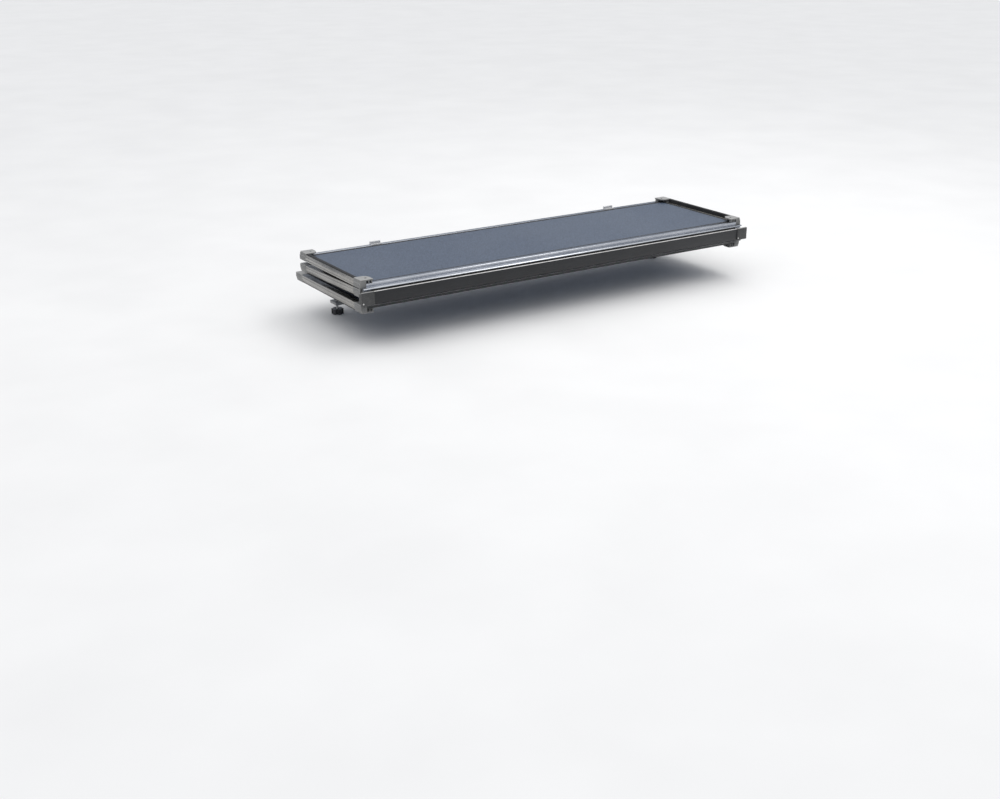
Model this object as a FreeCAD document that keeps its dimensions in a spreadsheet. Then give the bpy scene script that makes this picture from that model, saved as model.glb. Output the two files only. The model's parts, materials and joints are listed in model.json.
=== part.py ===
"""Three-panel folding tonneau cover, folded up behind the cab.

Millimetres. +X is the truck's right, +Y points to the cab and +Z is up. The origin is the
middle of the flat underside of the bulkhead seal. A panel is drawn flat in a frame of its own
(top plane at Z 0, front end at Y 0, rear end at minus its length) and then placed in the stack.
"""
import FreeCAD
import Part
import math
import os
import Sketcher

Vector = FreeCAD.Vector
doc = FreeCAD.newDocument("TonneauCover")
dimensions = doc.addObject("Spreadsheet::Sheet", "Dims")

DRIVING = {
    "half_width": 803,
    "front_panel_length": 491,
    "middle_panel_length": 451,
    "rear_panel_length": 448,
    "panel_height": 28,
    "flange_thick": 1.5,
    "rail_wall": 3,
    "sheet_thick": 1.2,
    "liner_depth": 13,
    "face_height": 16,
    "groove_start": 6,
    "groove_width": 2.4,
    "groove_depth": 1.2,
    "side_flange": 22,
    "cross_flange": 20,
    "lip_height": 8,
    "lip_step": 1.2,
    "lip_slant": 2.5,
    "lip_thick": 13,
    "edge_cut": 1.5,
    "seal_height": 4,
    "seal_skirt": 1.5,
    "seal_inset": 0.5,
    "seal_cut": 1.2,
    "corner_length": 48,
    "corner_flange": 35,
    "corner_round": 3,
    "corner_sweep": 20,
    "rib_margin": 4,
    "rib_pitch": 11,
    "rib_thick": 3,
    "rib_length": 14,
    "rib_count": 3,
    "end_seal_width": 16,
    "end_seal_cut": 3,
    "end_seal_gap": 2,
    "front_overhang": 12,
    "hinge_rise": 3,
    "hinge_reach": 11,
    "hinge_spacing": 48,
    "barrel_radius": 6.5,
    "socket_radius": 3.6,
    "bead_radius": 3.5,
    "neck_half": 1.5,
    "neck_bite": 1,
    "web_top": 0.4,
    "web_under": 3.5,
    "mouth_reach": 10,
    "barrel_inset": 6,
    "bar_half_length": 767,
    "bar_start": 7.5,
    "bar_foot_start": 2.5,
    "bar_depth": 15,
    "bar_wall": 2.5,
    "bar_cut": 1.5,
    "bar_top": 1.5,
    "bar_step_high": 8.5,
    "bar_step_low": 10.5,
    "cap_length": 46,
    "cap_proud": 1.5,
    "cap_screw_right": 5,
    "cap_screw_left": 6,
    "cap_screw_y": -9,
    "cap_screw_depth": 9,
    "cap_head_radius": 2.8,
    "cap_head_thick": 1,
    "tail_reach": 6,
    "tail_rise": 7,
    "knuckle_radius": 4.5,
    "knuckle_bore": 2.05,
    "tail_pin_radius": 2,
    "knuckle_length": 60,
    "knuckle_gap": 0.5,
    "knuckle_count": 24,
    "tail_web_bite": 0.5,
    "tail_web_depth": 8,
    "tail_tilt": 1.5,
    "tab_x": 515,
    "tab_width": 40,
    "tab_height": 10.5,
    "tab_base": 2.5,
    "tab_inset": 0.5,
    "tab_cut": 1,
    "tab_thick": 7.5,
    "tab_foot": 20,
    "tab_screw": 14,
    "screw_shank": 2,
    "screw_hole": 2.1,
    "screw_head": 4,
    "screw_head_thick": 2,
    "screw_head_bore": 4.1,
    "corner_screw": 31,
    "clamp_x": 660,
    "clamp_y": -90,
    "clamp_width": 46,
    "clamp_reach": 88,
    "clamp_drop": 78,
    "clamp_spine": 12,
    "clamp_arm": 13,
    "clamp_foot": 10,
    "clamp_tab": 24,
    "clamp_tab_thick": 5,
    "clamp_screw_x": 40,
    "clamp_screw_radius": 4,
    "clamp_screw_bore": 4.05,
    "clamp_screw_drop": 112,
    "clamp_foot_reach": 16,
    "clamp_play": 0.4,
    "clamp_bolt_apart": 26,
    "clamp_bolt_radius": 5.5,
    "clamp_bolt_head": 4,
    "jaw_inset": 4,
    "jaw_lip": 8,
    "jaw_nose": 14,
    "jaw_margin": 3,
    "jaw_bore_depth": 8,
    "pad_inset": 6,
    "pad_width": 36,
    "pad_margin": 5,
    "jaw_top": 24,
    "jaw_thick": 14,
    "pad_thick": 4,
    "knob_radius": 21,
    "knob_height": 18,
    "knob_base": 2,
    "knob_dip": 5,
    "knob_dips": 6,
    "latch_x": 640,
    "latch_length": 84,
    "latch_width": 40,
    "latch_height": 32,
    "latch_setback": 32,
    "latch_bore": 7.05,
    "latch_bolt_radius": 7,
    "latch_travel": 12,
    "latch_nose": 24,
    "latch_wall": 6,
    "latch_shoulder": 36,
    "latch_stem_start": 20,
    "latch_stem_radius": 3,
    "latch_stem_length": 17,
    "latch_pull": 48,
    "latch_pull_half": 3,
    "latch_slot_half": 3.5,
    "latch_slot_side": 5,
    "latch_nose_clear": 8,
    "latch_nose_slope": 12,
    "latch_grip_half": 6,
    "latch_grip_gap": 5,
    "latch_grip_thick": 6,
    "spring_radius": 5.6,
    "spring_bore": 4.2,
    "spring_length": 14,
    "cut_past": 1,
    "foot_height": 6.3,
    "foot_radius": 8,
}


class Size:
    """A length held as a number and as the spreadsheet expression that gives it."""

    def __init__(self, number, text):
        self.number = number
        self.text = text

    def joined(self, other, sign, result):
        return Size(result, f"({self.text} {sign} {as_size(other).text})")

    def __add__(self, other):
        return self.joined(other, "+", self.number + as_size(other).number)

    def __sub__(self, other):
        return self.joined(other, "-", self.number - as_size(other).number)

    def __mul__(self, other):
        return self.joined(other, "*", self.number * as_size(other).number)

    def __truediv__(self, other):
        return self.joined(other, "/", self.number / as_size(other).number)

    def __neg__(self):
        return Size(-self.number, f"(0 - {self.text})")

    def __radd__(self, other):
        return as_size(other) + self

    def __rsub__(self, other):
        return as_size(other) - self


def as_size(quantity):
    """A Size as it is, or a plain number made into one."""
    if isinstance(quantity, Size):
        return quantity
    return Size(float(quantity), f"{float(quantity):.6g}")


class Sizes:
    """The driving dimensions by name."""


sizes = Sizes()
for row, (name, amount) in enumerate(DRIVING.items(), start=1):
    dimensions.set(f"A{row}", name)
    dimensions.set(f"B{row}", str(amount))
    dimensions.setAlias(f"B{row}", name)
    setattr(sizes, name, Size(float(amount), f"Dims.{name}"))
doc.recompute()
d = sizes

NODES = {}
ABOUT_X = Vector(1, 0, 0)


# ---------------------------------------------------------------- drawing helpers
def new_body(label):
    body = doc.addObject("PartDesign::Body", label)
    body.Label = label
    return body


def plane_of(body, role):
    return next(feature for feature in body.Origin.OriginFeatures if feature.Role == role)


def new_sketch(body, role, start):
    sketch = body.newObject("Sketcher::SketchObject", f"{body.Name}_sketch")
    sketch.AttachmentSupport = [(plane_of(body, role), "")]
    sketch.MapMode = "FlatFace"
    sketch.setExpression("AttachmentOffset.Base.z", as_size(start).text)
    return sketch


def pin_point(sketch, geometry, point, place):
    """Hold one sketch point at its distances from the sketch's origin."""
    for kind, distance in zip(("DistanceX", "DistanceY"), place):
        distance = as_size(distance)
        index = sketch.addConstraint(
            Sketcher.Constraint(kind, -1, 1, geometry, point, distance.number))
        sketch.setExpression(f"Constraints[{index}]", distance.text)


def outline(body, role, points, start=0):
    """A closed sketch of straight lines."""
    sketch = new_sketch(body, role, start)
    corners = [Vector(as_size(a).number, as_size(b).number, 0) for a, b in points]
    count = len(corners)
    for index in range(count):
        sketch.addGeometry(Part.LineSegment(corners[index], corners[(index + 1) % count]))
    for index in range(count):
        sketch.addConstraint(Sketcher.Constraint("Coincident", index, 2, (index + 1) % count, 1))
    for index, place in enumerate(points):
        pin_point(sketch, index, 1, place)
    return sketch


def circle(body, role, centre, radius, start=0):
    """A sketch of one circle."""
    sketch = new_sketch(body, role, start)
    middle = Vector(as_size(centre[0]).number, as_size(centre[1]).number, 0)
    sketch.addGeometry(Part.Circle(middle, Vector(0, 0, 1), as_size(radius).number))
    index = sketch.addConstraint(Sketcher.Constraint("Radius", 0, as_size(radius).number))
    sketch.setExpression(f"Constraints[{index}]", as_size(radius).text)
    pin_point(sketch, 0, 3, centre)
    return sketch


def pad(body, sketch, length):
    feature = body.newObject("PartDesign::Pad", f"{body.Name}_pad")
    feature.Profile = sketch
    feature.setExpression("Length", as_size(length).text)
    sketch.Visibility = False
    return feature


def cut(body, sketch, length):
    feature = body.newObject("PartDesign::Pocket", f"{body.Name}_pocket")
    feature.Profile = sketch
    feature.Reversed = True
    feature.setExpression("Length", as_size(length).text)
    sketch.Visibility = False
    return feature


def box_points(low_a, high_a, low_b, high_b):
    return [(low_a, low_b), (high_a, low_b), (high_a, high_b), (low_a, high_b)]


def along_x(body, points, low, high):
    """Pad a Y-Z outline from X = low to X = high."""
    return pad(body, outline(body, "YZ_Plane", points, low), as_size(high) - low)


def along_y(body, points, near, far):
    """Pad an X-Z outline backwards, from Y = -near to Y = -far."""
    return pad(body, outline(body, "XZ_Plane", points, near), as_size(far) - near)


def along_z(body, points, low, high):
    return pad(body, outline(body, "XY_Plane", points, low), as_size(high) - low)


def node(feature, placement=FreeCAD.Placement(), label=None):
    """Register a sub-part under its Label, at its place in the stack."""
    if label:
        feature.Label = label
    feature.Placement = placement
    NODES[feature.Label] = feature
    return feature


def mirrored(source, label, normal=ABOUT_X, base=Vector(0, 0, 0)):
    feature = doc.addObject("Part::Mirroring", label)
    feature.Label = label
    feature.Source = source
    feature.Normal = normal
    feature.Base = base
    return feature


def group(label, members, placement=FreeCAD.Placement()):
    feature = doc.addObject("Part::Compound", label)
    feature.Label = label
    feature.Links = members
    return node(feature, placement)


def pair(label, source, placement=FreeCAD.Placement()):
    """A piece and its mirror image across the centreline."""
    return group(label, [source, mirrored(source, f"{label}_mirror")], placement)


def four(label, source, length, placement):
    """A corner piece at all four corners of a panel."""
    middle = Vector(0, -length.number / 2, 0)
    across = mirrored(source, f"{label}_left")
    behind = mirrored(source, f"{label}_rear", Vector(0, 1, 0), middle)
    opposite = mirrored(across, f"{label}_rear_left", Vector(0, 1, 0), middle)
    return group(label, [source, across, behind, opposite], placement)


# ---------------------------------------------------------------- places in the stack
panel_top = d.panel_height.number
hinge_y = d.front_overhang.number - d.front_panel_length.number - d.hinge_reach.number
lower_hinge = Vector(0, hinge_y, panel_top + d.hinge_rise.number)
upper_hinge = lower_hinge + Vector(0, 0, d.hinge_spacing.number)
middle_top = upper_hinge.z + d.hinge_rise.number
middle_front = hinge_y + d.hinge_reach.number
tail_hinge = Vector(0, middle_front + d.middle_panel_length.number + d.tail_reach.number,
                    middle_top - d.tail_rise.number)
tail_turn = FreeCAD.Rotation(ABOUT_X, -d.tail_tilt.number)
tail_arm = tail_turn.multVec(Vector(0, d.tail_reach.number, d.tail_rise.number))

FRONT = FreeCAD.Placement(Vector(0, d.front_overhang.number, panel_top), FreeCAD.Rotation())
BAR = FreeCAD.Placement(lower_hinge, FreeCAD.Rotation(ABOUT_X, -90))
MIDDLE = FreeCAD.Placement(Vector(0, middle_front, middle_top), FreeCAD.Rotation(ABOUT_X, 180))
REAR = FreeCAD.Placement(tail_hinge - tail_arm, tail_turn)

rail_under = -(d.liner_depth + d.flange_thick)
lip_under = -(d.face_height + d.lip_height)


# ---------------------------------------------------------------- panel pieces
def sheet_slab(label, length, top, thickness, placement):
    """One flat layer of a panel's sandwich, held inside its rails."""
    body = new_body(label)
    reach = d.half_width - d.rail_wall
    points = box_points(-reach, reach, d.rail_wall - length, -d.rail_wall)
    along_z(body, points, top - thickness, top)
    return node(body, placement)


def side_section():
    """The side rail's section: a grooved channel round the sandwich over an inward-slanted lip."""
    face = d.half_width
    inner = face - d.side_flange
    wall = face - d.rail_wall
    lip_inner = face - d.lip_thick
    groove = -d.groove_start
    return [
        (inner, 0), (face - d.edge_cut, 0), (face, -d.edge_cut), (face, groove),
        (face - d.groove_depth, groove - d.groove_width / 2), (face, groove - d.groove_width),
        (face, -d.face_height), (face - d.lip_step, -d.face_height - d.lip_step),
        (face - d.lip_slant, lip_under), (lip_inner, lip_under), (lip_inner, rail_under),
        (inner, rail_under), (inner, -d.liner_depth), (wall, -d.liner_depth),
        (wall, -d.flange_thick), (inner, -d.flange_thick),
    ]


def side_rails(name, length, placement):
    right = new_body(f"{name}_side_rail_right")
    along_y(right, side_section(), d.corner_length, length - d.corner_length)
    node(right, placement)
    left = mirrored(right, f"{name}_side_rail_left")
    NODES[left.Label] = left


def side_seals(name, length, placement):
    """Rubber angles that line the lips' inner faces and sit flat on the bed rails."""
    body = new_body(f"{name}_side_seal")
    lip_inner = d.half_width - d.lip_thick
    inner = lip_inner - d.seal_skirt
    outer = d.half_width - d.lip_slant - d.seal_inset
    under = -d.panel_height
    points = [
        (inner, rail_under), (lip_inner, rail_under), (lip_inner, lip_under), (outer, lip_under),
        (outer, under + d.seal_cut), (outer - d.seal_cut, under), (inner + d.seal_cut, under),
        (inner, under + d.seal_cut),
    ]
    along_y(body, points, d.corner_length, length - d.corner_length)
    pair(f"{name}_side_seals", body, placement)


def corner_pieces(name, length, placement):
    """Moulded corners: side channel, end wall, low flange with a rounded corner, and ribs."""
    body = new_body(f"{name}_corner")
    face = d.half_width
    inner = face - d.side_flange
    deep = d.corner_length
    along_y(body, side_section(), 0, deep)
    end_wall = [
        (inner, 0), (face - d.edge_cut, 0), (face, -d.edge_cut), (face, -d.face_height),
        (face - d.lip_step, -d.face_height - d.lip_step),
        (face - d.lip_slant, lip_under), (inner, lip_under),
    ]
    along_y(body, end_wall, 0, d.rail_wall)
    low_left = face - d.lip_thick - d.corner_flange
    low_right = face - d.lip_slant
    under = -d.panel_height
    nose = d.corner_round
    bulge = nose * (1 - math.cos(math.radians(45)))
    sweep = d.corner_sweep
    flange = [
        (low_left, -d.edge_cut), (low_left + d.edge_cut, 0), (low_right - nose, 0),
        (low_right - bulge, -bulge), (low_right, -nose), (low_right, -deep),
        (low_left + sweep * 0.7, -deep), (low_left + sweep * 0.2, sweep * 0.5 - deep),
        (low_left, sweep - deep),
    ]
    along_z(body, flange, under, lip_under)
    for index in range(int(d.rib_count.number)):
        rib = low_left + d.rib_margin + d.rib_pitch * index
        along_y(body, box_points(rib, rib + d.rib_thick, lip_under, rail_under), 0, d.rib_length)
    centre = (face - d.corner_screw, -d.side_flange)
    cut(body, circle(body, "XY_Plane", centre, d.screw_hole, under), d.seal_height)
    cut(body, circle(body, "XY_Plane", centre, d.screw_head_bore, under), d.screw_head_thick)
    four(f"{name}_corners", body, length, placement)


def corner_screws(name, length, placement):
    """Sunk screws that hold the corner pieces' low flanges up to the panel."""
    body = new_body(f"{name}_corner_screw")
    centre = (d.half_width - d.corner_screw, -d.side_flange)
    under = -d.panel_height
    pad(body, circle(body, "XY_Plane", centre, d.screw_shank, under),
        d.panel_height - d.liner_depth)
    pad(body, circle(body, "XY_Plane", centre, d.screw_head, under), d.screw_head_thick)
    four(f"{name}_corner_screws", body, length, placement)


def cross_section(end, out):
    """A cross rail's channel: end is its outer plane and out is +1 or -1 along Y."""
    def at(distance):
        return end - as_size(distance) * out
    deep = d.cross_flange
    wall = d.rail_wall
    return [
        (at(deep), 0), (at(d.edge_cut), 0), (at(0), -d.edge_cut), (at(0), rail_under + d.edge_cut),
        (at(d.edge_cut), rail_under), (at(deep), rail_under), (at(deep), -d.liner_depth),
        (at(wall), -d.liner_depth), (at(wall), -d.flange_thick), (at(deep), -d.flange_thick),
    ]


def cross_rail(label, end, out):
    body = new_body(label)
    reach = d.half_width - d.side_flange
    along_x(body, cross_section(end, out), -reach, reach)
    return body


def bar_hinge_rail(label, end, out, placement):
    """A cross rail with a C-shaped socket along its outer edge for the hinge bar's bead."""
    body = cross_rail(label, end, out)
    reach = d.half_width - d.barrel_inset
    axis = end + d.hinge_reach * out
    along_x(body, box_points(end, axis, -d.web_under, -d.web_top), -reach, reach)
    pad(body, circle(body, "YZ_Plane", (axis, d.hinge_rise), d.barrel_radius, -reach), reach * 2)
    cut(body, circle(body, "YZ_Plane", (axis, d.hinge_rise), d.socket_radius, -reach), reach * 2)
    mouth = [(axis, d.hinge_rise)]
    for degrees in (117, 90, 45, 0, -27):
        angle = math.radians(degrees)
        across = d.mouth_reach * math.cos(angle) * out
        mouth.append((axis + across, d.hinge_rise + d.mouth_reach * math.sin(angle)))
    cut(body, outline(body, "YZ_Plane", mouth, -reach), reach * 2)
    return node(body, placement)


def tail_hinge_rail(label, end, out, first_slot, placement):
    """A cross rail with every second knuckle of the tail hinge."""
    body = cross_rail(label, end, out)
    axis = end + d.tail_reach * out
    rise = d.tail_rise
    pitch = d.knuckle_length
    start = end - d.tail_web_bite * out
    flank = d.knuckle_radius * 0.62
    web = [
        (start, -d.tail_web_depth), (start, -d.edge_cut), (end, -d.edge_cut),
        (axis - flank * out, rise + flank), (axis, rise), (axis + flank * out, rise - flank),
    ]
    length = pitch - d.knuckle_gap
    for slot in range(first_slot, int(d.knuckle_count.number), 2):
        low = pitch * slot - pitch * d.knuckle_count / 2 + d.knuckle_gap / 2
        along_x(body, web, low, low + length)
        pad(body, circle(body, "YZ_Plane", (axis, rise), d.knuckle_radius, low), length)
    reach = pitch * d.knuckle_count / 2 + d.cut_past
    cut(body, circle(body, "YZ_Plane", (axis, rise), d.knuckle_bore, -reach), reach * 2)
    return node(body, placement)


def end_seal(label, centre, placement):
    """A rubber strip under a cross rail, flat underneath."""
    body = new_body(label)
    half = d.end_seal_width / 2
    under = -d.panel_height
    rise = under + d.seal_height
    near = centre - half
    far = centre + half
    points = [
        (near, rail_under), (near, rise), (near + d.end_seal_cut, under),
        (far - d.end_seal_cut, under), (far, rise), (far, rail_under),
    ]
    reach = d.half_width - d.lip_thick - d.corner_flange - d.end_seal_gap
    along_x(body, points, -reach, reach)
    return node(body, placement)


def panel(name, length, placement):
    """The sandwich, side rails, seals and corners that every panel has."""
    top = -d.flange_thick
    core_top = top - d.sheet_thick
    liner_top = d.sheet_thick - d.liner_depth
    sheet_slab(f"{name}_skin", length, top, d.sheet_thick, placement)
    sheet_slab(f"{name}_core", length, core_top, core_top - liner_top, placement)
    sheet_slab(f"{name}_liner", length, liner_top, d.sheet_thick, placement)
    side_rails(name, length, placement)
    side_seals(name, length, placement)
    corner_pieces(name, length, placement)
    corner_screws(name, length, placement)


# ---------------------------------------------------------------- the three panels
def front_panel():
    length = d.front_panel_length
    panel("front", length, FRONT)
    node(cross_rail("front_bulkhead_rail", as_size(0), 1), FRONT)
    bar_hinge_rail("front_hinge_rail", -length, -1, FRONT)
    end_seal("bulkhead_seal", -d.front_overhang, FRONT)


def middle_panel():
    length = d.middle_panel_length
    panel("middle", length, MIDDLE)
    bar_hinge_rail("middle_hinge_rail", as_size(0), 1, MIDDLE)
    tail_hinge_rail("middle_tail_rail", -length, -1, 0, MIDDLE)
    pin = new_body("tail_hinge_pin")
    centre = (-length - d.tail_reach, d.tail_rise)
    reach = d.knuckle_length * d.knuckle_count / 2
    pad(pin, circle(pin, "YZ_Plane", centre, d.tail_pin_radius, -reach), reach * 2)
    node(pin, MIDDLE)
    stow_tabs(length)


def stow_tabs(length):
    """Two small stops that stand up at the folded cover's cab edge, each with its screw."""
    tab = new_body("stow_tab")
    edge = -length
    low = d.tab_x - d.tab_width / 2
    high = d.tab_x + d.tab_width / 2
    base = rail_under - d.tab_base
    tip = rail_under - d.tab_height
    near = edge + d.tab_inset
    far = near + d.tab_thick
    section = [
        (near, rail_under), (near, tip + d.tab_cut), (near + d.tab_cut, tip), (far - d.tab_cut, tip),
        (far, tip + d.tab_cut), (far, base), (edge + d.tab_foot, base), (edge + d.tab_foot, rail_under),
    ]
    along_x(tab, section, low, high)
    centre = (d.tab_x, edge + d.tab_screw)
    cut(tab, circle(tab, "XY_Plane", centre, d.screw_hole, base), d.tab_base)
    pair("stow_tabs", tab, MIDDLE)
    screw = new_body("stow_tab_screw")
    pad(screw, circle(screw, "XY_Plane", centre, d.screw_shank, base), d.tab_base)
    pad(screw, circle(screw, "XY_Plane", centre, d.screw_head, base - d.screw_head_thick),
        d.screw_head_thick)
    pair("stow_tab_screws", screw, MIDDLE)


def rear_panel():
    length = d.rear_panel_length
    panel("rear", length, REAR)
    tail_hinge_rail("rear_hinge_rail", as_size(0), 1, 1, REAR)
    node(cross_rail("rear_tail_rail", -length, -1), REAR)
    end_seal("tailgate_seal", d.end_seal_width / 2 + d.end_seal_gap - length, REAR)
    latches(length)


# ---------------------------------------------------------------- slide-bolt latches
def both_sides(name, right, placement):
    """Register the right piece and its mirror image as a left piece."""
    right.Label = f"{name}_right"
    node(right, placement)
    left = mirrored(right, f"{name}_left")
    NODES[left.Label] = left


def latches(length):
    low = d.latch_x
    high = low + d.latch_length
    near = d.latch_setback - length
    far = near + d.latch_width
    middle_y = near + d.latch_width / 2
    base = -d.liner_depth
    middle_z = base - d.latch_height / 2
    housing = new_body("latch_housing")
    along_z(housing, box_points(low, high, near, far), base - d.latch_height, base)
    bore = circle(housing, "YZ_Plane", (middle_y, middle_z), d.latch_bore, low + d.latch_wall)
    cut(housing, bore, d.latch_length)
    pull_x = low + d.latch_pull
    slot_low = pull_x - d.latch_slot_side - d.latch_travel
    slot = box_points(slot_low, pull_x + d.latch_slot_side, near - d.cut_past, middle_y)
    cut(housing, outline(housing, "XY_Plane", slot, middle_z - d.latch_slot_half),
        d.latch_slot_half * 2)
    both_sides("latch_housing", housing, REAR)

    bolt = new_body("latch_bolt")
    shoulder = low + d.latch_shoulder
    tip = high + d.latch_nose
    pad(bolt, circle(bolt, "YZ_Plane", (middle_y, middle_z), d.latch_bolt_radius, shoulder),
        tip - shoulder)
    stem = circle(bolt, "YZ_Plane", (middle_y, middle_z), d.latch_stem_radius,
                  low + d.latch_stem_start)
    pad(bolt, stem, d.latch_stem_length)
    clear = d.latch_nose_clear
    past = tip + d.cut_past
    nose = [
        (past, middle_z + clear), (past - d.latch_nose_slope, middle_z + clear),
        (past, middle_z + clear - d.latch_nose_slope),
    ]
    cut(bolt, outline(bolt, "XZ_Plane", nose, -middle_y - clear), clear * 2)
    grip_start = d.latch_grip_gap - near
    half = d.latch_pull_half
    pull = box_points(pull_x - half, pull_x + half, middle_z - half, middle_z + half)
    along_y(bolt, pull, -middle_y, grip_start + half)
    half = d.latch_grip_half
    grip = box_points(pull_x - half, pull_x + half, middle_z - half, middle_z + half)
    along_y(bolt, grip, grip_start, grip_start + d.latch_grip_thick)
    both_sides("latch_bolt", bolt, REAR)

    spring = new_body("latch_spring")
    seat = low + d.latch_wall
    pad(spring, circle(spring, "YZ_Plane", (middle_y, middle_z), d.spring_radius, seat),
        d.spring_length)
    cut(spring, circle(spring, "YZ_Plane", (middle_y, middle_z), d.spring_bore, seat),
        d.spring_length)
    both_sides("latch_spring", spring, REAR)

    foot = new_body("latch_foot")
    foot_centre = (low + d.latch_length / 2, middle_y)
    foot_base = base - d.latch_height - d.foot_height
    pad(foot, circle(foot, "XY_Plane", foot_centre, d.foot_radius, foot_base), d.foot_height)
    pair("latch_feet", foot, REAR)


# ---------------------------------------------------------------- hinge bar
def bar_outline(proud):
    """The bar's section, from the lower hinge axis (Y 0) to the upper one."""
    span = d.hinge_spacing
    under = -d.bar_depth - proud
    foot = d.bar_foot_start - proud / 2
    start = d.bar_start
    half = [
        (foot + d.bar_cut, under), (foot, under + d.bar_cut), (foot, -d.bar_step_low),
        (start, -d.bar_step_high), (start, d.bar_top),
    ]
    return [(-y, z) for y, z in half] + [(y - span, z) for y, z in reversed(half)]


def hinge_bar():
    bar = new_body("hinge_bar")
    reach = d.bar_half_length
    span = d.hinge_spacing
    along_x(bar, bar_outline(as_size(0)), -reach, reach)
    for axis, side in ((as_size(0), -1), (-span, 1)):
        neck_start = axis + d.neck_bite * side
        neck_end = axis + (d.bar_start + d.neck_bite) * side
        neck = box_points(neck_start, neck_end, -d.neck_half, d.neck_half)
        along_x(bar, neck, -reach, reach)
        pad(bar, circle(bar, "YZ_Plane", (axis, 0), d.bead_radius, -reach), reach * 2)
    inner = d.bar_start + d.bar_wall
    hollow = box_points(inner - span, -inner, d.bar_wall - d.bar_depth, d.bar_top - d.bar_wall)
    cut(bar, outline(bar, "YZ_Plane", hollow, -reach), reach * 2)
    node(bar, BAR)

    far = reach + d.cap_length
    under = -d.bar_depth - d.cap_proud
    screws = []
    for side, low, high, screw_x in (
            ("left", -far, -reach, d.cap_screw_left - far),
            ("right", reach, far, reach + d.cap_screw_right)):
        centre = (screw_x, d.cap_screw_y)
        cap = new_body(f"bar_end_cap_{side}")
        along_x(cap, bar_outline(d.cap_proud), low, high)
        cut(cap, circle(cap, "XY_Plane", centre, d.screw_hole, under), d.cap_screw_depth)
        node(cap, BAR)
        screw = new_body(f"bar_cap_screw_{side}")
        pad(screw, circle(screw, "XY_Plane", centre, d.screw_shank, under), d.cap_screw_depth)
        head = circle(screw, "XY_Plane", centre, d.cap_head_radius, under - d.cap_head_thick)
        pad(screw, head, d.cap_head_thick)
        screws.append(screw)
    group("bar_cap_screws", screws, BAR)


# ---------------------------------------------------------------- front clamps
def front_clamps():
    """Screw clamps under the front panel that grip the bed rails' inner lips."""
    ceiling = d.panel_height - d.liner_depth
    low = d.clamp_x
    inner = low + d.clamp_spine
    outer = low + d.clamp_reach
    front = -(d.clamp_y + d.clamp_width / 2)
    back = front + d.clamp_width
    screw_x = low + d.clamp_screw_x
    foot_end = screw_x + d.clamp_foot_reach
    drop = -d.clamp_drop

    bracket = new_body("clamp_bracket")
    section = [
        (outer, ceiling), (outer, ceiling - d.clamp_arm),
        (inner, ceiling - d.clamp_arm), (inner, drop + d.clamp_foot),
        (foot_end, drop + d.clamp_foot), (foot_end, drop), (low, drop),
        (low, ceiling - d.clamp_tab_thick), (low - d.clamp_tab, ceiling - d.clamp_tab_thick),
        (low - d.clamp_tab, ceiling),
    ]
    along_y(bracket, section, front, back)
    centre = (screw_x, d.clamp_y)
    cut(bracket, circle(bracket, "XY_Plane", centre, d.clamp_screw_bore, drop - d.cut_past),
        d.clamp_foot + d.cut_past * 2)
    both_sides("clamp_bracket", bracket, FreeCAD.Placement())

    jaw_high = -d.jaw_top
    jaw_low = jaw_high - d.jaw_thick
    jaw = new_body("clamp_jaw")
    jaw_points = [
        (inner + d.clamp_play, jaw_high), (outer - d.jaw_inset, jaw_high),
        (outer - d.jaw_inset, jaw_high - d.jaw_lip), (screw_x + d.jaw_nose, jaw_low),
        (inner + d.clamp_play, jaw_low),
    ]
    along_y(jaw, jaw_points, front + d.jaw_margin, back - d.jaw_margin)
    cut(jaw, circle(jaw, "XY_Plane", centre, d.clamp_screw_bore, jaw_low), d.jaw_bore_depth)
    both_sides("clamp_jaw", jaw, FreeCAD.Placement())

    jaw_pad = new_body("clamp_pad")
    pad_outer = outer - d.pad_inset
    pad_points = box_points(pad_outer - d.pad_width, pad_outer, jaw_high, jaw_high + d.pad_thick)
    along_y(jaw_pad, pad_points, front + d.pad_margin, back - d.pad_margin)
    both_sides("clamp_pad", jaw_pad, FreeCAD.Placement())

    screw = new_body("clamp_screw")
    tip = -d.clamp_screw_drop
    pad(screw, circle(screw, "XY_Plane", centre, d.clamp_screw_radius, tip),
        jaw_low + d.jaw_bore_depth - tip)
    both_sides("clamp_screw", screw, FreeCAD.Placement())

    knob = new_body("clamp_knob")
    knob_low = tip - d.knob_base
    pad(knob, circle(knob, "XY_Plane", centre, d.knob_radius, knob_low), d.knob_height)
    cut(knob, circle(knob, "XY_Plane", centre, d.clamp_screw_bore, tip), d.knob_height)
    dips = int(d.knob_dips.number)
    for index in range(dips):
        angle = math.radians(360 / dips * index)
        dip = (screw_x + d.knob_radius * math.cos(angle), d.clamp_y + d.knob_radius * math.sin(angle))
        cut(knob, circle(knob, "XY_Plane", dip, d.knob_dip, knob_low - d.cut_past),
            d.knob_height + d.cut_past * 2)
    both_sides("clamp_knob", knob, FreeCAD.Placement())

    bolts = []
    head_top = ceiling - d.clamp_tab_thick
    for end, side in (("front", 1), ("rear", -1)):
        bolt = new_body(f"clamp_bolt_{end}")
        place = (low - d.clamp_tab / 2, d.clamp_y + d.clamp_bolt_apart / 2 * side)
        head = circle(bolt, "XY_Plane", place, d.clamp_bolt_radius, head_top - d.clamp_bolt_head)
        pad(bolt, head, d.clamp_bolt_head)
        bolts.append(bolt)
    mirrors = [mirrored(bolt, f"{bolt.Name}_mirror") for bolt in bolts]
    group("clamp_bolts", bolts + mirrors)


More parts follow.
